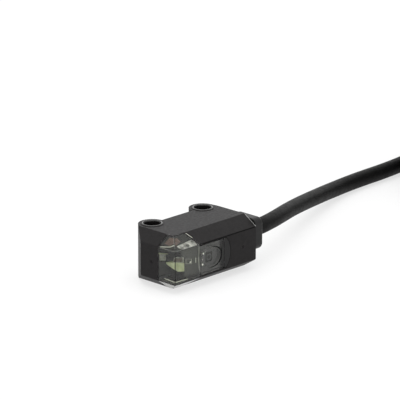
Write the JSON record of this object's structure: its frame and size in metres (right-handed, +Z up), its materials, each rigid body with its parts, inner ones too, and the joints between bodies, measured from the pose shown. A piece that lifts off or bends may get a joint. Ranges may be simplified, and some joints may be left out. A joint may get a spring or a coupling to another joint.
{
  "type": "through-beam photoelectric sensor",
  "caption": "Compact rectangular head of a through-beam photoelectric sensor with bevelled edges, a clear corner window with an oval lens, two screw lobes and a round cable.",
  "frame": {"origin": "centre of the head's box on its underside, the cable left out", "axes": "+X the way the cable leaves, -Y the way the lens looks, +Z up from the underside"},
  "size_m": [0.1213, 0.0484, 0.0159],
  "materials": {
    "housing": "fine matt moulded",
    "bush": "matt moulded",
    "clear_cover": "clear moulded plastic",
    "holder": "matt",
    "guide": "translucent",
    "led": "water-clear epoxy",
    "receiver": "tinted epoxy",
    "board": "solder resist",
    "chip_black": "moulded epoxy",
    "ceramic": "ceramic body",
    "core_brown": "smooth PVC",
    "core_blue": "smooth PVC",
    "core_black": "smooth PVC",
    "cable": "matt PVC sheath",
    "tie": "nylon",
    "tinned": "tinned copper strands"
  },
  "bodies": {
    "root": {"case": "housing", "bottom_cover": "housing", "cable_bush": "bush", "front_cover": "clear_cover", "optics_holder": "holder", "light_guide": "guide", "indicator_led": "led", "photo_ic": "receiver", "pcb": "board", "amplifier_ic": "chip_black", "output_transistor": "chip_black", "protection_diode": "chip_black", "resistor_gain": "chip_black", "resistor_load": "chip_black", "filter_capacitor": "ceramic", "bulk_capacitor": "ceramic", "core_brown": "core_brown", "core_blue": "core_blue", "core_black": "core_black", "cord_run": "cable", "cord_coil": "cable", "cord_tail": "cable", "cord_tie": "tie", "tail_core_brown": "core_brown", "tail_core_blue": "core_blue", "tail_core_black": "core_black", "tail_tip_brown": "tinned", "tail_tip_blue": "tinned", "tail_tip_black": "tinned"}
  },
  "joints": []
}
